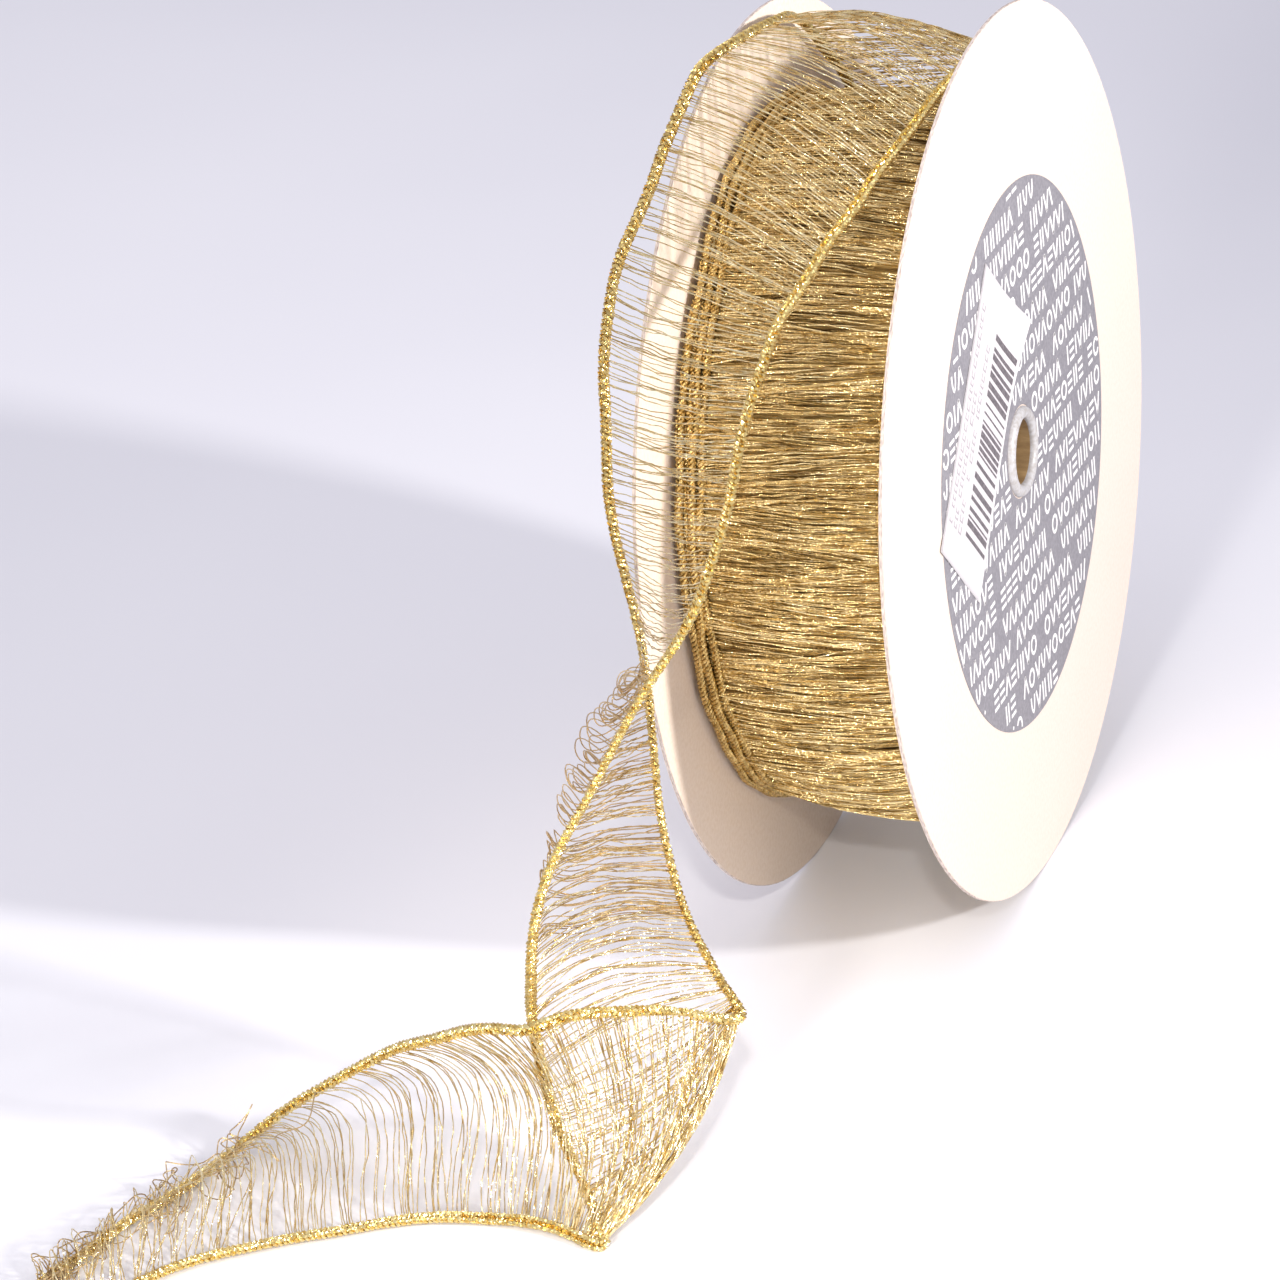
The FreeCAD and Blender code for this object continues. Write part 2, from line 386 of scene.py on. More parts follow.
def lathe(name, profile, segments, material, jitter=0.0, seed=0):
    """Closed ring from a closed (radius, y) profile, gently uneven round its turn."""
    r = np.random.default_rng(seed)
    profile = np.asarray(profile, float)
    m = len(profile)
    turn = np.linspace(0, 2 * np.pi, segments, endpoint=False)
    rad = profile[None, :, 0] + jitter * r.normal(0, 1, (segments, m))
    y = np.broadcast_to(profile[None, :, 1], rad.shape)
    verts = np.stack([rad * np.cos(turn)[:, None], y, rad * np.sin(turn)[:, None]], -1).reshape(-1, 3)
    i, j = np.meshgrid(np.arange(segments), np.arange(m), indexing="ij")
    ni, nj = (i + 1) % segments, (j + 1) % m
    quads = np.stack([i * m + j, i * m + nj, ni * m + nj, ni * m + j], -1).reshape(-1, 4)
    return new_mesh(name, verts, [quads], material, True)


def winding_core():
    """Bed of inner turns under the drawn threads, in dark gold that paints their shade."""
    ys = np.linspace(-WEB_HALF, WEB_HALF, 26)
    top = [(PACK_R - 2.1 * MM, y) for y in ys]
    bottom = [(WINDING_BORE, y) for y in ys[::-1]]
    return lathe("wound_inner_turns", top + bottom, 720, shaded_under_winding(), 0.12 * MM, 3)


def braid_ring(name, radius, y, strands, material, seed):
    """Rope of strands laid round the pack once."""
    r = np.random.default_rng(seed)
    points = 900
    turn = np.linspace(0, 2 * np.pi, points, endpoint=False)
    wander = sum(0.11 * MM * np.sin(k * turn + r.uniform(0, 6)) for k in (3, 8, 17, 31))
    sway = sum(0.14 * MM * np.sin(k * turn + r.uniform(0, 6)) for k in (2, 5, 13, 24))
    lay = 2 * np.pi * radius / (2.6 * MM)
    paths = []
    for s in range(strands):
        phase = round(lay) * turn + s * 2 * np.pi / strands
        rad = radius + wander + 0.30 * MM * np.cos(phase)
        yy = y + 0.52 * MM * np.sin(phase) + sway
        paths.append(np.stack([rad * np.cos(turn), yy, rad * np.sin(turn)], -1))
    paths = np.array(paths)
    closed = np.concatenate([paths, paths[:, :1]], 1)
    return tubes(name, closed, 0.34 * MM, 5, material, smooth=True)


def selvedge_coil(name, low, high, seed):
    """Side of the winding: the ribbon's edge, turn upon turn, in the darker coil gold that paints the side's
    shade.
    """
    turns = np.arange(WINDING_BORE, PACK_R - 1.4 * MM, 0.9 * MM)
    side = []
    for k, rad in enumerate(turns):
        side += [(rad + 0.1 * MM, 0.0), (rad + 0.45 * MM, 1.0), (rad + 0.8 * MM, 0.0)]
    out = [(rad, high - 0.25 * MM * (1 - bulge)) for rad, bulge in side]
    back = [(rad, low + 0.25 * MM * (1 - bulge)) for rad, bulge in side[::-1]]
    return lathe(name, out + back, 200, shaded_coil_gold, 0.05 * MM, seed)


# Selvedge braids on each side, in the darker coil gold that paints their shade: depth below the winding's
# radius, and shift outwards, in millimetres.
BRAIDS = ((0.75, 0.2), (0.95, -1.5), (1.35, -2.8), (1.9, -0.7), (2.6, 0.3))

core = winding_core()
layers = [
    # The deepest layer takes the darker gold, painted shade between the threads.
    wound_layer("wound_threads_deep", 1300, PACK_R - 1.8 * MM, 0.5 * MM, 11, 0.15 * MM, shaded_deep_gold),
    wound_layer("wound_threads_middle", 1500, PACK_R - 1.2 * MM, 0.6 * MM, 23, 0.12 * MM, pack_gold),
    wound_layer("wound_threads_outer", 1500, PACK_R - 0.7 * MM, 0.7 * MM, 37, 0.105 * MM, pack_gold),
]
mid_y = (COIL_OUT + COIL_IN) / 2
coils = []
for side, tag in ((-1, "front"), (1, "rear")):
    low, high = sorted((side * COIL_IN, side * COIL_OUT))
    coils.append(selvedge_coil(f"wound_{tag}_selvedge_turns", low, high, 5 + side))
    for k, (drop, shift) in enumerate(BRAIDS):
        ring = braid_ring(
            f"wound_{tag}_selvedge_braid_{k + 1}", PACK_R - drop * MM,
            side * (mid_y + shift * MM), 3, shaded_coil_gold, 60 + 7 * k + side)
        coils.append(ring)
for piece in [core, *layers, *coils]:
    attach(piece, "spool")
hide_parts("wound_threads")
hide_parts("wound_front_selvedge")
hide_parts("wound_rear_selvedge")


# ---- loose ribbon -----------------------------------------------------------------------
FINE = 1600
rear_stations = np.array(DROP_REAR + FOLD_REAR + RUN_REAR, float)
front_stations = np.array(DROP_FRONT + FOLD_FRONT + RUN_FRONT, float)
rear_line = catmull(rear_stations, FINE) * MM
front_line = catmull(front_stations, FINE) * MM
LAST = len(rear_stations) - 1
for line in (rear_line, front_line):
    line[:, 2] = np.maximum(line[:, 2], FLOOR + 0.75 * MM)


def arc_of(line):
    """Distance along a line at each of its points."""
    return np.concatenate([[0], np.cumsum(np.linalg.norm(np.diff(line, axis=0), axis=1))])


rear_arc, front_arc = arc_of(rear_line), arc_of(front_line)


def at_line(line, u):
    """Points on a fine line at station numbers u."""
    x = np.clip(np.asarray(u) / LAST, 0, 1) * (FINE - 1)
    return np.stack([np.interp(x, np.arange(FINE), line[:, k]) for k in range(3)], -1)


TWIST = 12.0      # station where the ribbon twists and its loose threads hang out
FRAYING = 24.5    # station after which the threads stray more and more towards the cut end
# Slack threads bulge this way, by the mean of a thread's two station numbers: direction, thread
# length in millimetres, share of the slack taken up, and where along the thread (0 front
# selvedge, 1 rear selvedge) the bulge is highest.
SLACK = [
    (0, (0.9, 0, 0.4), 38, 0.15, 0.5), (2, (0.5, 0, 0.85), 38, 0.3, 0.5), (4, (0.05, 0, 1), 38, 0.7, 0.5),
    (5.5, (-0.3, 0, 0.9), 38, 0.5, 0.5), (8, (-0.6, 0, -0.7), 38, 0.35, 0.5),
    (10, (-0.4, 0.3, -0.8), 38, 0.4, 0.4),
    (11, (-0.33, 0.93, -0.1), 38, 0.35, 0.3), (12.3, (-0.33, 0.5, 0.5), 38, 0.3, 0.35),
    (13.2, (-0.15, 0.2, 0.97), 38, 0.45, 0.4), (15, (0.05, -0.3, 0.95), 38, 0.40, 0.45),
    (16.2, (0.3, -0.9, -0.2), 39, 0.4, 0.5), (17.5, (0.07, -0.83, -0.55), 43, 0.62, 0.5),
    (18.7, (-0.35, -0.8, -0.30), 40, 0.7, 0.45), (20, (-0.3, -0.7, 0.45), 39, 0.7, 0.5),
    (22.5, (0.5, -0.55, 0.65), 38, 0.95, 0.62), (26, (0.45, -0.45, 0.8), 36, 0.75, 0.62),
    (30, (0.3, 0.1, 0.9), 30, 0.5, 0.6),
]


def bulge_height(chord, length):
    """Height of a sine-shaped bulge that takes up a thread's slack between its two ends."""
    ratio = np.clip(length / np.maximum(chord, 1e-5), 1.0, 6.0)
    table_h = np.linspace(0, 3.2, 200)
    t = np.linspace(0, 1, 101)
    table_l = np.array([np.mean(np.sqrt(1 + (np.pi * h * np.cos(np.pi * t)) ** 2)) for h in table_h])
    return np.interp(ratio, table_l, table_h) * chord


def thread_paths(u_front, u_rear, points, seed, wave=0.28 * MM):
    """Threads between the selvedges, each bulging by its own slack."""
    r = np.random.default_rng(seed)
    n = len(u_front)
    front, rear = at_line(front_line, u_front), at_line(rear_line, u_rear)
    keys = np.array([row[0] for row in SLACK])
    mean = (u_front + u_rear) / 2
    toward = np.array([row[1] for row in SLACK], float)
    toward = np.stack([np.interp(mean, keys, toward[:, k]) for k in range(3)], -1)
    full = np.interp(mean, keys, [row[2] for row in SLACK]) * MM
    share = np.interp(mean, keys, [row[3] for row in SLACK])
    crest = np.interp(mean, keys, [row[4] for row in SLACK])[:, None]
    chord = np.linalg.norm(rear - front, axis=1)
    across = unit(rear - front)
    wild = np.clip((mean - FRAYING) / 4, 0, 1) * 0.30 + np.exp(-((mean - TWIST) / 1.3) ** 2) * 0.12
    toward = toward + r.normal(0, 1, (n, 3)) * (0.07 + wild[:, None])
    toward = unit(toward - across * (toward * across).sum(1)[:, None])
    length = full * (1 - 0.010 + r.normal(0, 0.007, n))
    height = bulge_height(chord, length) * share * (1 + 0.12 * r.normal(0, 1, n))
    v = np.linspace(0, 1, points)[None, :]
    power = np.log(0.5) / np.log(crest)
    hump = np.sin(np.pi * v**power)
    path = front[:, None] + (rear - front)[:, None] * v[..., None]
    path = path + (height[:, None] * hump)[..., None] * toward[:, None]
    hold = np.sin(np.pi * v)[..., None] ** 0.7
    middle = (front_line + rear_line) / 2
    ahead, behind = np.minimum(u_front + 0.15, LAST), np.maximum(u_front - 0.15, 0)
    along = unit(at_line(middle, ahead) - at_line(middle, behind))
    normal = unit(np.cross(across, along))
    for k, size in ((1.2, 1.0), (2.7, 0.6), (5.3, 0.30), (8.1, 0.14)):
        phase = r.uniform(0, 6.3, (n, 1, 2))
        own = r.uniform(0.2, 1.3, (n, 1, 1))
        swing = np.sin(k * 2 * np.pi * v[..., None] + phase)
        path = path + hold * own * wave * size * swing[..., :1] * along[:, None]
        path = path + hold * own * 0.8 * wave * size * swing[..., 1:] * normal[:, None]
    path[..., 2] = np.maximum(path[..., 2], FLOOR + 0.2 * MM)
    return path


# Which station of each selvedge a thread joins, (front, rear). At the fold the front selvedge
# first runs on to its own corner while the rear one waits at its corner, then the reverse.
PAIRS = [
    (0, 0), (5, 5.1), (8, 7.95), (10, 9.7), (12, 11.5), (13.4, 12.8), (15, 13.9), (17, 14.6), (20, 15.05),
    (20.25, 16.2), (20.5, 17.6), (21, 19.6), (22, 21.3), (24, 23.7), (26, 26.0), (28, 28.0), (30, 29.9),
]
THREADS = 800
POINTS = 26
FOLD = 17.9                              # mean station at the middle of the fold
CORNER_FRONT, CORNER_REAR = 20.0, 15.0   # stations where the two selvedges turn back
grid = np.linspace(0, LAST, FINE)
knots = np.linspace(0, len(PAIRS) - 1, 4000)
pair_front = np.interp(knots, np.arange(len(PAIRS)), [p[0] for p in PAIRS])
pair_rear = np.interp(knots, np.arange(len(PAIRS)), [p[1] for p in PAIRS])
pair_arc = (np.interp(pair_front, grid, front_arc) + np.interp(pair_rear, grid, rear_arc)) / 2
pair_mean = (pair_front + pair_rear) / 2
# Threads crowd together at the fold and thin out along the run.
crowd = 1 + 1.1 * np.exp(-((pair_mean - FOLD) / 1.7) ** 2) - 0.3 * np.exp(-((pair_mean - 23.5) / 2.5) ** 2)
order = np.cumsum(np.gradient(pair_arc) * crowd)
order = (order - order[0]) / (order[-1] - order[0])
share_of = (np.arange(THREADS) + 0.5 + rng.uniform(-0.4, 0.4, THREADS)) / THREADS
for waves, size in ((31, 0.0011), (67, 0.0010), (118, 0.0008)):
    share_of = share_of + size * np.sin(2 * np.pi * waves * share_of + waves)
share_of = np.clip(share_of, 0.0005, 0.9995)
u_front = np.interp(share_of, order, pair_front)
u_rear = np.interp(share_of + rng.normal(0, 0.0009, THREADS), order, pair_rear)
paths = thread_paths(u_front, u_rear, POINTS, 51)
twist = rng.uniform(0, 6.3, (THREADS, 1)) + np.cumsum(rng.uniform(0.3, 1.2, (THREADS, POINTS)), 1)
drop = u_front < CORNER_FRONT
at_fold = np.exp(-(((u_front + u_rear) / 2 - FOLD) / 1.8) ** 2)[:, None]
thick = (0.112 + 0.035 * at_fold) * MM * np.ones((1, POINTS))
front_cut = float(np.interp(CORNER_FRONT, grid, front_arc) / front_arc[-1])
rear_cut = float(np.interp(CORNER_REAR, grid, rear_arc) / rear_arc[-1])
drop_threads = tubes("tail_drop_ribbon", paths[drop], thick[drop], 3, thread_gold, twist[drop])
run_threads = tubes("tail_run_ribbon", paths[~drop], thick[~drop], 3, thread_gold, twist[~drop])


BRAID_HALF_WIDTH = 0.66 * MM    # to the strands' centres
BRAID_HALF_DEPTH = 0.36 * MM
BRAID_LAY = 3.4 * MM         # length in which a strand crosses over and back
STRAND_RADIUS = 0.38 * MM


def selvedge(name, line, start, stop, seed, strands=4):
    """Flat braid along one edge of the loose ribbon, between two shares of its length."""
    points = 1700
    path = even(line, points)
    r = np.random.default_rng(seed)
    along = unit(np.gradient(path, axis=0))
    length = np.linalg.norm(np.diff(path, axis=0), axis=1).sum()
    guide = even((rear_line + front_line) / 2, points) - path
    across = unit(guide - along * (guide * along).sum(1)[:, None])
    for _ in range(30):
        across = unit(across + np.roll(across, 1, 0) * 0.5 + np.roll(across, -1, 0) * 0.5)
        across = unit(across - along * (across * along).sum(1)[:, None])
    normal = np.cross(along, across)
    s = np.linspace(0, length, points)
    wander = 0.16 * MM * np.sin(s / (3.1 * MM) + seed) + 0.12 * MM * np.sin(s / (7.3 * MM) + 2 * seed)
    out = []
    for k in range(strands):
        phase = 2 * np.pi * s / BRAID_LAY + k * 2 * np.pi / strands
        out.append(
            path + across * (BRAID_HALF_WIDTH * np.sin(phase) + wander)[:, None]
            + normal * (BRAID_HALF_DEPTH * np.sin(2 * phase + 0.6))[:, None])
    out = np.array(out)
    out = out + r.normal(0, 0.035 * MM, out.shape)
    out[..., 2] = np.maximum(out[..., 2], FLOOR + 0.36 * MM)
    part = out[:, int(start * points):int(math.ceil(stop * points))]
    return tubes(name, part, STRAND_RADIUS, 4, braid_gold)


def joined(first, *others):
    """Several pieces made one object, each keeping its own material."""
    with bpy.context.temp_override(active_object=first, selected_editable_objects=[first, *others]):
        bpy.ops.object.join()
    return first


def tangle(name, count, seed):
    """Threads that have worked loose near the ribbon's end, lying in loops over its rear edge."""
    r = np.random.default_rng(seed)
    points = 34
    v = np.linspace(0, 1, points)[None, :]
    u0 = LAST - 0.05 - 4.6 * r.uniform(0, 1, (count, 1)) ** 1.5
    u1 = np.clip(u0 + r.normal(0.2, 0.9, (count, 1)), 0, LAST)
    start, stop = at_line(rear_line, u0[:, 0]), at_line(rear_line, u1[:, 0])
    inward = at_line(front_line, u0[:, 0]) - start
    path = start[:, None] + (stop - start)[:, None] * v[..., None]
    out = np.sin(np.pi * v)[..., None]
    reach = r.uniform(-0.15, 0.55, (count, 1, 1))
    path = path + inward[:, None] * out * reach
    path[..., 2] += (out[..., 0] * r.uniform(0.5, 3.2, (count, 1))) * MM
    for k, size in ((1.0, 1.4), (1.7, 0.7), (3.1, 0.15)):
        phase = r.uniform(0, 6.3, (count, 1, 3))
        own = r.uniform(0.3, 1.2, (count, 1, 1))
        path = path + out * own * size * MM * np.sin(2 * np.pi * k * v[..., None] + phase)
    path[..., 2] = np.maximum(path[..., 2], FLOOR + 0.2 * MM)
    return tubes(name, path, 0.125 * MM, 3, tangle_gold, r.uniform(0, 6, (count, 1)) + v * 9)


drop_threads = joined(
    drop_threads,
    selvedge("drop_rear_braid", rear_line, 0, rear_cut, 71),
    selvedge("drop_front_braid", front_line, 0, front_cut, 73))
run_threads = joined(
    run_threads,
    selvedge("run_rear_braid", rear_line, rear_cut, 1, 71),
    selvedge("run_front_braid", front_line, front_cut, 1, 73))
end_tangle = tangle("tail_end_loose_threads", 60, 81)

# Slack threads that hang out in loops where the ribbon twists, densest at one station.
LOOPS, STEPS = 64, 40
loop_u = np.sort(rng.uniform(10.4, 14.2, LOOPS))
loops = thread_paths(loop_u, np.interp(loop_u, pair_front, pair_rear), STEPS, 91, 0.08 * MM)
turn = np.clip(np.linspace(0, 1, STEPS) / 0.5, 0, 1)[None, :, None]
near = (0.35 + 0.65 * np.exp(-((loop_u - TWIST) / 1.5) ** 2))[:, None, None]
size = rng.uniform(3.0, 5.6, (LOOPS, 1, 1)) * near
loops = loops + np.sin(np.pi * turn) * size * MM * np.array([-0.33, 0.93, 0.1])
loops = loops + np.sin(2 * np.pi * turn) * 0.45 * size * MM * np.array([0.41, 0.05, 0.91])
twist_loops = tubes("tail_twist_loose_threads", loops, 0.115 * MM, 3, tangle_gold)

for piece in (drop_threads, run_threads, end_tangle, twist_loops):
    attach(piece, "free_end")
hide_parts("tail_drop")
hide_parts("tail_run")


# ---- label print ------------------------------------------------------------------------
def plate(shapes, name, y_face, height, material):
    """Flat raised shapes on the label: each is a closed outline of (x, z) points, in metres."""
    verts, faces = [], []
    for ring in shapes:
        ring = np.asarray(ring)
        k, base = len(ring), len(verts)
        verts += [(x, y_face, z) for x, z in ring] + [(x, y_face - height, z) for x, z in ring]
        faces.append(list(range(base, base + k))[::-1])
        faces.append(list(range(base + k, base + 2 * k)))
        faces += [[base + i, base + (i + 1) % k, base + k + (i + 1) % k, base + k + i] for i in range(k)]
    mesh = bpy.data.meshes.new(name)
    mesh.from_pydata(verts, [], faces)
    mesh.materials.append(material)
    obj = bpy.data.objects.new(name, mesh)
    bpy.context.scene.collection.objects.link(obj)
    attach(obj, "spool")


label_low, label_high = (np.array(c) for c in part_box("round_label"))
LABEL_C = (label_low + label_high)[[0, 2]] / 2
LABEL_R = (label_high[0] - label_low[0]) / 2
PRINT_HEIGHT = 0.02 * MM
HOLE_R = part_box("front_lip")[1][0] + 0.5 * MM
STICKER_C = np.array([-20.3, 11.7]) * MM
STICKER_SIZE = (50.0 * MM, 24.0 * MM)
STICKER_TURN = math.radians(46.0)
LONG = np.array([math.cos(STICKER_TURN), math.sin(STICKER_TURN)])
SHORT = np.array([math.sin(STICKER_TURN), -math.cos(STICKER_TURN)])


def under_sticker(p):
    """Whether a label point is well covered by the sticker."""
    d = p - STICKER_C
    length, width = (size / 2 - 0.6 * MM for size in STICKER_SIZE)
    return abs(d @ LONG) < length and abs(d @ SHORT) < width


def glyph_strokes(kind, x, z, w, h, t):
    """Outlines of one plain ornament in a cell: bars, half rings, rings and steps."""
    def bar(x0, z0, x1, z1):
        a, b = np.array([x0, z0]), np.array([x1, z1])
        d = unit(b - a)
        s = np.array([-d[1], d[0]]) * t / 2
        return [a - s, b - s, b + s, a + s]

    def arc(cx, cz, rx, rz, start, stop):
        turn = np.radians(np.linspace(start, stop, max(3, int(abs(stop - start) / 24))))
        bars = []
        for a0, a1 in zip(turn[:-1], turn[1:]):
            bars.append([
                (cx + (rx - t / 2) * math.cos(a0), cz + (rz - t / 2) * math.sin(a0)),
                (cx + (rx + t / 2) * math.cos(a0), cz + (rz + t / 2) * math.sin(a0)),
                (cx + (rx + t / 2) * math.cos(a1), cz + (rz + t / 2) * math.sin(a1)),
                (cx + (rx - t / 2) * math.cos(a1), cz + (rz - t / 2) * math.sin(a1))])
        return bars

    top, mid = z + h, z + h / 2
    r = w / 2 - t / 2
    if kind == 0:  # ring
        return arc(x + w / 2, mid, r, h / 2 - t / 2, 0, 360)
    if kind == 1:  # pair of bars
        return [bar(x + t, z, x + t, top), bar(x + w - t, z, x + w - t, top)]
    if kind == 2:  # chevron
        return [bar(x, z, x + w / 2, top), bar(x + w / 2, top, x + w, z)]
    if kind == 3:  # three steps
        return [bar(x, level, x + w, level) for level in (z + t / 2, mid, top - t / 2)]
    if kind == 4:  # half ring
        return arc(x + w / 2, top, r, h - t, 180, 360)
    if kind == 5:  # chevron, the other way up
        return [bar(x, top, x + w / 2, z), bar(x + w / 2, z, x + w, top)]
    return [bar(x + w / 2, z, x + w / 2, top)]


def label_pattern():
    """Rows of plain ornaments, in groups with gaps, cut off at the label's edge."""
    r = np.random.default_rng(5)
    pitch, height, stroke = 5.0 * MM, 3.5 * MM, 0.62 * MM
    shapes = []
    for row in range(-9, 10):
        z = row * pitch - 0.3 * MM
        x = -LABEL_R - r.uniform(0, 12) * MM
        left = r.integers(6, 13)
        while x < LABEL_R:
            kind = int(r.integers(0, 7))
            w = {6: 1.0, 0: 3.3}.get(kind, 2.6) * MM
            for outline in glyph_strokes(kind, x, z, w, height, stroke):
                o = np.asarray(outline) + LABEL_C
                rim = np.linalg.norm(o - LABEL_C, axis=1).max() < LABEL_R - 0.3 * MM
                clear = np.linalg.norm(o, axis=1).min() > HOLE_R
                if rim and clear and not all(under_sticker(p) for p in o):
                    shapes.append(o)
            x += w + 0.75 * MM
            left -= 1
            if left == 0:
                x += r.uniform(2.0, 4.5) * MM
                left = r.integers(6, 13)
    return shapes


plate(label_pattern(), "round_label_print", LABEL_FACE, PRINT_HEIGHT, label_white)

# ---- sticker ----------------------------------------------------------------------------
STICKER_BACK = LABEL_FACE - 0.03 * MM
PAPER = 0.09 * MM


def curl(a, b):
    """How far the sticker stands off at its own coordinates; its corner by the hole has lifted."""
    along = np.clip((a / (STICKER_SIZE[0] / 2) - 0.15) / 0.85, 0, 1)
    lift = along * np.clip((b / (STICKER_SIZE[1] / 2) + 0.2) / 1.2, 0, 1)
    return 1.5 * MM * lift**2 + 0.05 * MM * np.sin(a * 300) * np.sin(b * 260) + 0.05 * MM


def on_sticker(a, b, height=0.0):
    """Points in space for the sticker's own coordinates, a along it and b across it."""
    p = STICKER_C + np.outer(a, LONG) + np.outer(b, SHORT)
    return np.stack([p[:, 0], np.full(len(p), STICKER_BACK) - curl(a, b) - height, p[:, 1]], 1)


def sticker_sheet():
    """The sticker's paper, a closed thin sheet."""
    na, nb = 50, 26
    a = np.linspace(-0.5, 0.5, na) * STICKER_SIZE[0]
    b = np.linspace(-0.5, 0.5, nb) * STICKER_SIZE[1]
    ga, gb = (g.ravel() for g in np.meshgrid(a, b, indexing="ij"))
    back, face = on_sticker(ga, gb), on_sticker(ga, gb, PAPER)
    i, j = np.meshgrid(np.arange(na - 1), np.arange(nb - 1), indexing="ij")
    q = np.stack([i * nb + j, i * nb + j + 1, (i + 1) * nb + j + 1, (i + 1) * nb + j], -1).reshape(-1, 4)
    n = na * nb
    rim = np.concatenate([
        np.arange(nb), np.arange(1, na) * nb + nb - 1,
        (na - 1) * nb + np.arange(nb - 2, -1, -1), np.arange(na - 2, 0, -1) * nb])
    nxt = np.roll(rim, -1)
    walls = np.stack([rim, nxt, nxt + n, rim + n], -1)
    faces = [q, q[:, ::-1] + n, walls]
    obj = new_mesh("barcode_sticker_paper", np.concatenate([back, face]), faces, sticker_paper, True)
    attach(obj, "spool")
    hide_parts("barcode_sticker")


def printed_bars(name, boxes, material):
    """Printed strokes on the sticker, each (a0, a1, b0, b1) in its own coordinates."""
    verts, faces, base = [], [], 0
    for a0, a1, b0, b1 in boxes:
        nb = max(2, int((b1 - b0) / (1.5 * MM)) + 1) if b1 - b0 > a1 - a0 else 2
        na = max(2, int((a1 - a0) / (1.5 * MM)) + 1) if a1 - a0 >= b1 - b0 else 2
        grids = np.meshgrid(np.linspace(a0, a1, na), np.linspace(b0, b1, nb), indexing="ij")
        ga, gb = (g.ravel() for g in grids)
        verts.append(on_sticker(ga, gb, PAPER + 0.015 * MM))
        i, j = np.meshgrid(np.arange(na - 1), np.arange(nb - 1), indexing="ij")
        corners = [i * nb + j, (i + 1) * nb + j, (i + 1) * nb + j + 1, i * nb + j + 1]
        faces.append(base + np.stack(corners, -1).reshape(-1, 4))
        base += na * nb
    obj = new_mesh(name, np.concatenate(verts), [np.concatenate(faces)], material)
    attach(obj, "spool")


sticker_sheet()
r = np.random.default_rng(9)
module = 0.375 * MM
bars, x = [], -18.0 * MM
while x < 18.0 * MM:
    wide = int(r.choice([1, 1, 2, 2, 3])) * module
    bars.append((x, x + wide, -0.8 * MM, 10.9 * MM))
    x += wide + int(r.choice([1, 1, 2, 3])) * module
printed_bars("barcode_sticker_bars", bars, ink)
lines = []
for row, (start, stop) in enumerate(((-19, 14), (-19, 4), (-19, 19))):
    x = start * MM
    while x < stop * MM:
        wide = r.uniform(0.5, 1.5) * MM
        z = (-3.6 - 2.7 * row) * MM
        if r.uniform() > 0.16:
            lines.append((x, x + wide, z, z + r.uniform(0.25, 0.4) * MM))
            lines.append((x, x + wide, z - 1.3 * MM, z - 1.0 * MM))
            lines.append((x, x + 0.3 * MM, z - 1.3 * MM, z + 0.3 * MM))
        x += wide + 0.5 * MM
printed_bars("barcode_sticker_lines", lines, faint_ink)

# ---- floor, light and camera -------------------------------------------------------------
def floor_material():
    """Pale table with a faint slow mottle."""
    n = Nodes("pale_table", rough=0.85)
    n.colour(n.ramp(n.noise(6, 2.0), (0.3, (0.80, 0.80, 0.845)), (0.7, (0.83, 0.83, 0.87))))
    return n.m


bpy.ops.mesh.primitive_plane_add(size=8, location=(0, 0, FLOOR - 0.02 * MM))
floor = bpy.context.object
floor.name = "table_top"
floor.data.materials.append(floor_material())

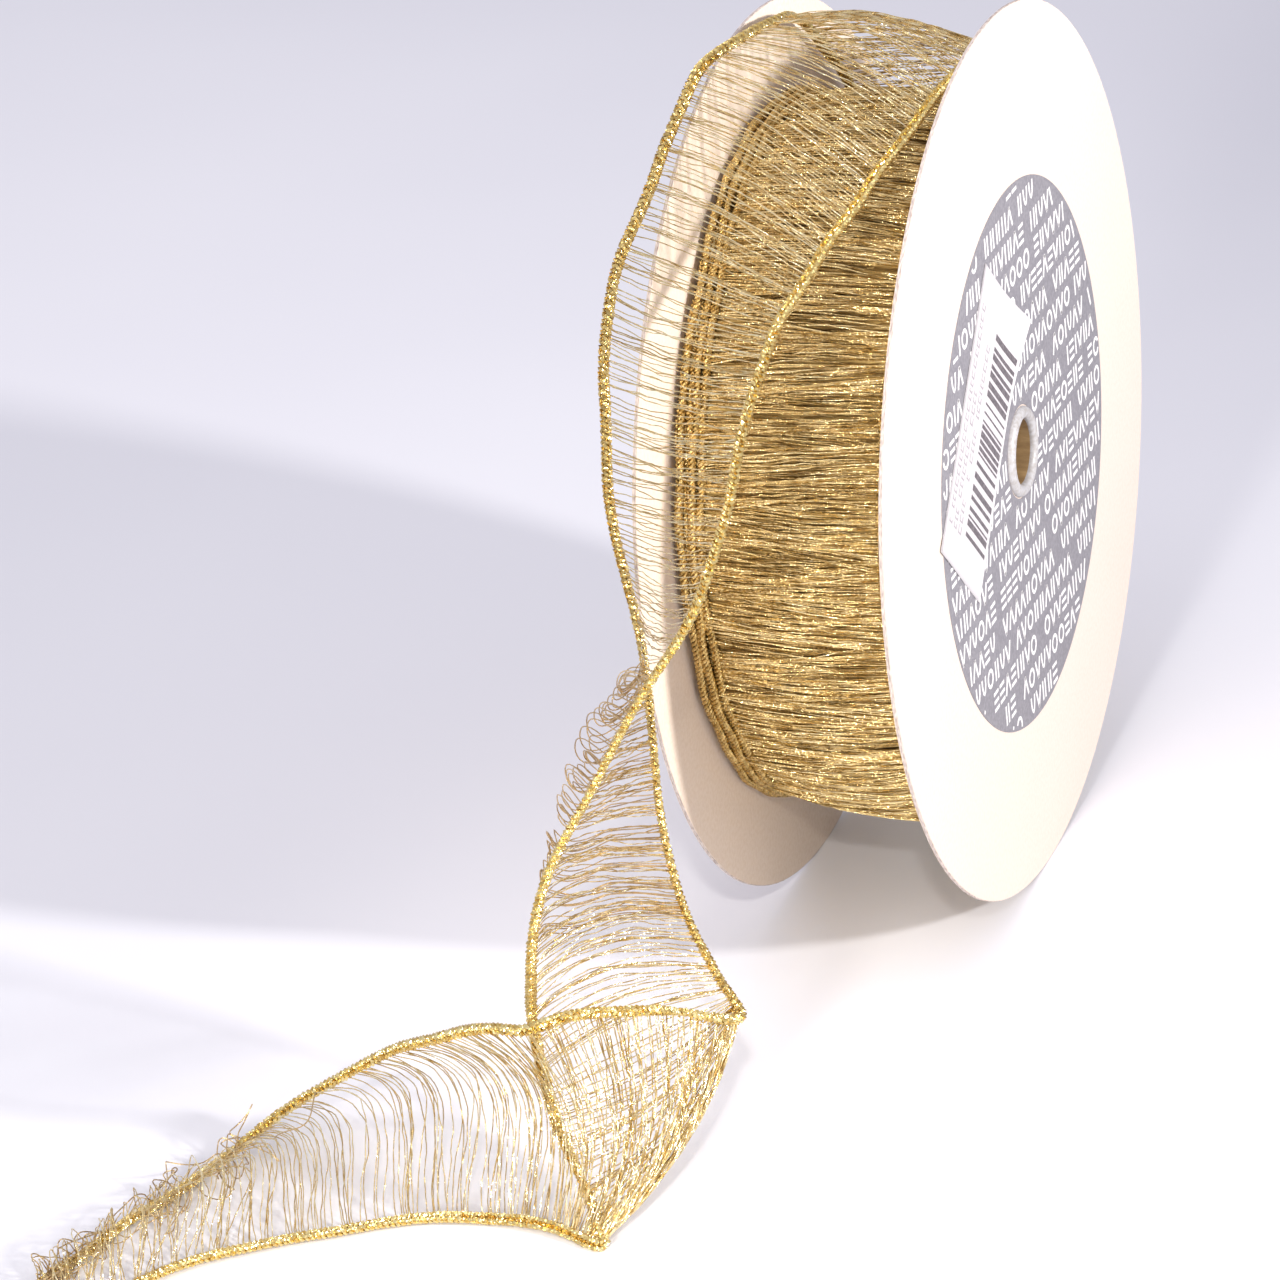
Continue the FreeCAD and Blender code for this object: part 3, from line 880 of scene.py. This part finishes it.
world = bpy.data.worlds.new("studio")
bpy.context.scene.world = world
world.use_nodes = True
tree = world.node_tree
height = tree.nodes.new("ShaderNodeSeparateXYZ")
tree.links.new(tree.nodes.new("ShaderNodeTexCoord").outputs["Generated"], height.inputs[0])
sky = tree.nodes.new("ShaderNodeValToRGB")
sky.color_ramp.elements[0].position = 0.0
sky.color_ramp.elements[0].color = (0.62, 0.62, 0.66, 1)
sky.color_ramp.elements[1].position = 0.75
sky.color_ramp.elements[1].color = (0.915, 0.90, 1.01, 1)
tree.links.new(height.outputs[2], sky.inputs[0])
tree.links.new(sky.outputs[0], tree.nodes["Background"].inputs[0])
tree.nodes["Background"].inputs[1].default_value = 0.78


def aimed(name, kind, place, aim, power, colour, **values):
    """Light at one place, pointed at another."""
    data = bpy.data.lights.new(name, kind)
    data.energy = power
    data.color = colour
    for key, value in values.items():
        setattr(data, key, value)
    light = bpy.data.objects.new(name, data)
    light.location = place
    light.rotation_euler = (Vector(aim) - Vector(place)).to_track_quat("-Z", "Y").to_euler()
    bpy.context.scene.collection.objects.link(light)


aimed(
    "key", "SPOT", (-0.22, -0.78, 0.32), (0.02, 0.9, 0.32), 48.5, (1.0, 0.97, 0.94),
    spot_size=math.radians(78), spot_blend=1.0, shadow_soft_size=0.035)
aimed(
    "overhead", "AREA", (-0.55, 0.0, 0.85), (-0.05, 0, 0), 1.0, (1.0, 0.98, 0.95),
    shape="DISK", size=0.35)
aimed(
    "low fill", "SPOT", (-0.74, -0.24, 0.44), (-0.124, 0.004, -0.044), 13.0, (1.0, 0.95, 0.88),
    spot_size=math.radians(10.5), spot_blend=1.0, shadow_soft_size=0.02)
aimed(
    "front fill", "AREA", (-1.2, -0.06, 0.34), (-0.06, 0, -0.02), 9.0, (1.0, 0.97, 0.92),
    shape="DISK", size=0.16)

AZIMUTH, ELEVATION, ROLL = (math.radians(x) for x in (-68.273, 23.895, -6.033))
back = Vector((
    math.sin(AZIMUTH) * math.cos(ELEVATION), -math.cos(AZIMUTH) * math.cos(ELEVATION), math.sin(ELEVATION)))
level = Vector((math.cos(AZIMUTH), math.sin(AZIMUTH), 0))
upright = back.cross(level)
right = level * math.cos(ROLL) + upright * math.sin(ROLL)
up = back.cross(right)
camera = bpy.data.objects.new("camera", bpy.data.cameras.new("camera"))
facing = Matrix((right, up, back)).transposed().to_4x4()
camera.matrix_world = Matrix.Translation((-0.91962, -0.31583, 0.40005)) @ facing
camera.data.lens = 176.36
camera.data.sensor_width = 36.0
camera.data.clip_start = 0.01
bpy.context.scene.collection.objects.link(camera)
bpy.context.scene.camera = camera
bpy.context.scene.view_settings.view_transform = "Standard"
